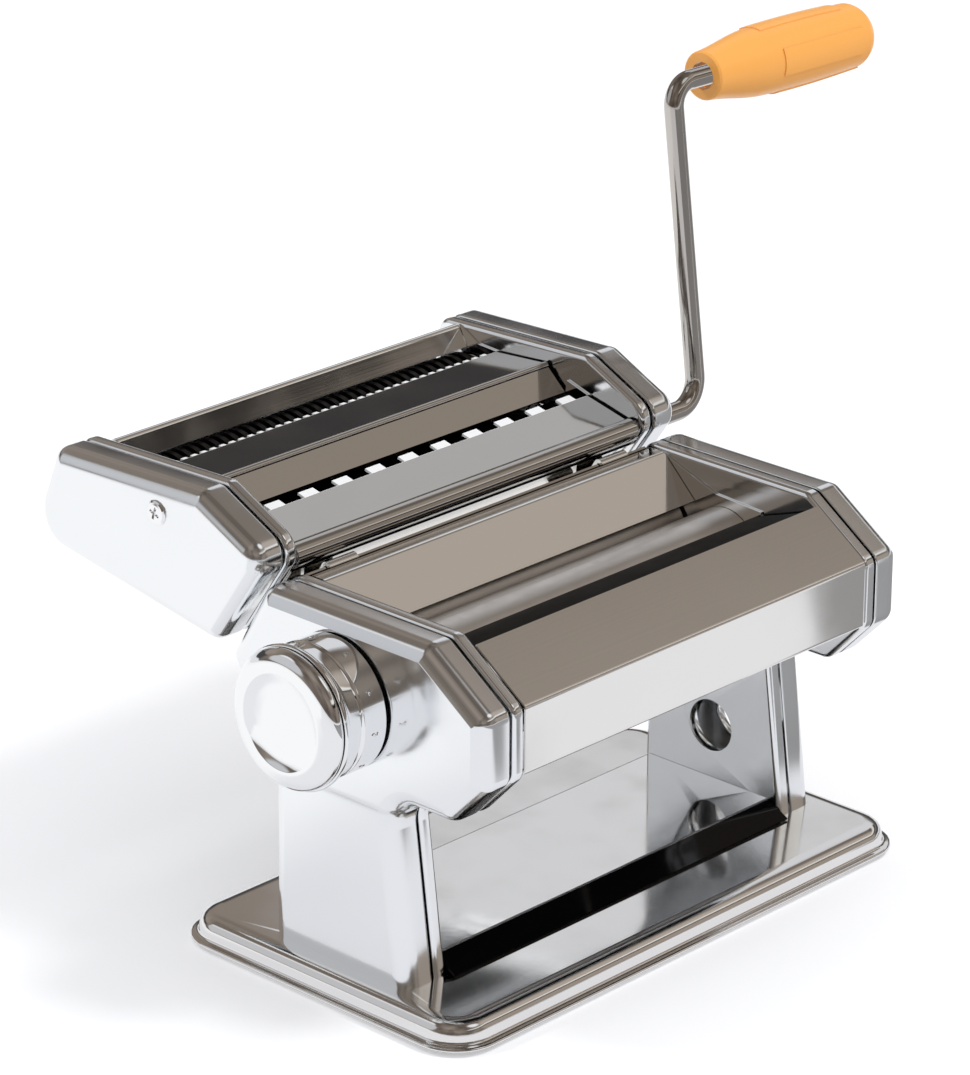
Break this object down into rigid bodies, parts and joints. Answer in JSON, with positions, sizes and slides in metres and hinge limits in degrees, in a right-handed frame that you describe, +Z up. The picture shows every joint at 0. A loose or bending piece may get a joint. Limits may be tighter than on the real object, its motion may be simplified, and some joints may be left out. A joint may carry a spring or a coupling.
{
  "type": "pasta machine",
  "caption": "Hand cranked pasta machine: smooth rollers with a thickness dial in a pressed steel body, a lift-off head with fine and wide cutters, and a crank that plugs in.",
  "frame": {"origin": "middle of the four feet, on the table that the machine stands on", "axes": "+X along the rollers towards the crank, -Y towards the front with the smooth rollers' outlet, +Y towards the cutter head, +Z up"},
  "size_m": [0.3342, 0.1878, 0.2325],
  "materials": {
    "polished_steel": "mirror polished stainless sheet",
    "turned_steel": "ground and plated steel",
    "spring_steel": "bright spring steel",
    "zinc_steel": "zinc plated steel",
    "sintered_steel": "sintered steel, as pressed and lightly oiled",
    "cutter_steel": "turned steel",
    "grey_plastic": "moulded food grade plastic",
    "white_plastic": "moulded nylon",
    "knob_plating": "bright plated moulding",
    "rubber": "moulded rubber",
    "orange_plastic": "moulded, slightly glossy"
  },
  "bodies": {
    "frame": {"base_plate": "polished_steel", "base_screws": "zinc_steel", "rubber_feet": "rubber", "foot_tray": "polished_steel", "left_side_plate": "polished_steel", "right_side_plate": "polished_steel", "left_cover": "polished_steel", "right_cover": "polished_steel", "tie_rods": "turned_steel", "tie_rod_nuts": "zinc_steel", "front_panel": "polished_steel", "back_panel": "polished_steel", "hopper_rear_panel": "polished_steel", "hopper_guides": "white_plastic", "front_scraper": "grey_plastic", "rear_scraper": "grey_plastic", "rear_bushes": "white_plastic", "dial_bush": "white_plastic", "index_plate": "turned_steel"},
    "carriage": {"left_bearing_block": "sintered_steel", "right_bearing_block": "sintered_steel"},
    "front_roller": {"front_roller": "turned_steel", "front_roller_shaft": "turned_steel", "front_gear": "sintered_steel"},
    "rear_roller": {"rear_roller": "turned_steel", "rear_roller_shaft": "turned_steel", "rear_gear": "sintered_steel"},
    "dial": {"scroll_cam": "sintered_steel", "dial_shaft": "turned_steel", "shaft_nut": "zinc_steel", "knob_spring": "spring_steel"},
    "knob": {"knob_body": "knob_plating", "knob_cap": "knob_plating", "index_pin": "turned_steel"},
    "cutter_head": {"cutter_left_plate": "polished_steel", "cutter_right_plate": "polished_steel", "cutter_left_cover": "polished_steel", "cutter_right_cover": "polished_steel", "cutter_screws": "zinc_steel", "cutter_bushes": "white_plastic", "cutter_front_panel": "polished_steel", "cutter_rear_panel": "polished_steel", "cutter_divider": "polished_steel", "cutter_front_guard": "polished_steel", "feed_guides": "white_plastic", "fine_combs": "grey_plastic", "wide_combs": "grey_plastic", "cutter_tie_rods": "turned_steel", "cutter_rod_nuts": "zinc_steel", "mounting_hooks": "spring_steel"},
    "fine_front": {"fine_cutter_front": "cutter_steel", "fine_front_gear": "sintered_steel"},
    "fine_rear": {"fine_cutter_rear": "cutter_steel", "fine_rear_gear": "sintered_steel"},
    "wide_front": {"wide_cutter_front": "cutter_steel", "wide_front_gear": "sintered_steel"},
    "wide_rear": {"wide_cutter_rear": "cutter_steel", "wide_rear_gear": "sintered_steel"},
    "crank": {"crank_rod": "turned_steel"},
    "grip": {"grip": "orange_plastic"}
  },
  "joints": [
    {"name": "thickness_dial", "type": "hinge", "parent": "frame", "child": "dial", "pos_m": [0, -0.0026, 0.0948], "axis": [-1, 0, 0], "range_deg": [0, 324]},
    {"name": "gap_slide", "type": "slide", "parent": "frame", "child": "carriage", "axis": [0, 1, 0], "range_m": [0, 0.0024]},
    {"name": "front_roller_spin", "type": "hinge", "parent": "carriage", "child": "front_roller", "pos_m": [0, -0.0046, 0.0948], "axis": [1, 0, 0], "continuous": true},
    {"name": "rear_roller_spin", "type": "hinge", "parent": "frame", "child": "rear_roller", "pos_m": [0, 0.0246, 0.0948], "axis": [1, 0, 0], "continuous": true},
    {"name": "knob_pull", "type": "slide", "parent": "dial", "child": "knob", "axis": [-1, 0, 0], "range_m": [0, 0.003], "stiffness_N_per_m": 1500, "springref_m": -0.002, "deforming": ["knob_spring"]},
    {"name": "cutter_lift", "type": "slide", "parent": "frame", "child": "cutter_head", "axis": [0, -0.5145, 0.8575], "range_m": [0, 0.04]},
    {"name": "fine_front_spin", "type": "hinge", "parent": "cutter_head", "child": "fine_front", "pos_m": [0, 0.0879, 0.1235], "axis": [1, 0, 0], "continuous": true},
    {"name": "fine_rear_spin", "type": "hinge", "parent": "cutter_head", "child": "fine_rear", "pos_m": [0, 0.1059, 0.1235], "axis": [1, 0, 0], "continuous": true},
    {"name": "wide_front_spin", "type": "hinge", "parent": "cutter_head", "child": "wide_front", "pos_m": [0, 0.05, 0.116], "axis": [1, 0, 0], "continuous": true},
    {"name": "wide_rear_spin", "type": "hinge", "parent": "cutter_head", "child": "wide_rear", "pos_m": [0, 0.068, 0.116], "axis": [1, 0, 0], "continuous": true},
    {"name": "crank_pull", "type": "slide", "parent": "wide_front", "child": "crank", "axis": [1, 0, 0], "range_m": [0, 0.02]},
    {"name": "grip_spin", "type": "hinge", "parent": "crank", "child": "grip", "pos_m": [0.1242, 0.06347, 0.22114], "axis": [0.9999, -0.0017, -0.013], "continuous": true}
  ],
  "couplings": [
    {"joint": "thickness_dial", "follows": "gap_slide", "rad_per_m": 2356.2},
    {"joint": "front_roller_spin", "follows": "rear_roller_spin", "ratio": -1},
    {"joint": "fine_rear_spin", "follows": "fine_front_spin", "ratio": -1},
    {"joint": "wide_rear_spin", "follows": "wide_front_spin", "ratio": -1}
  ]
}
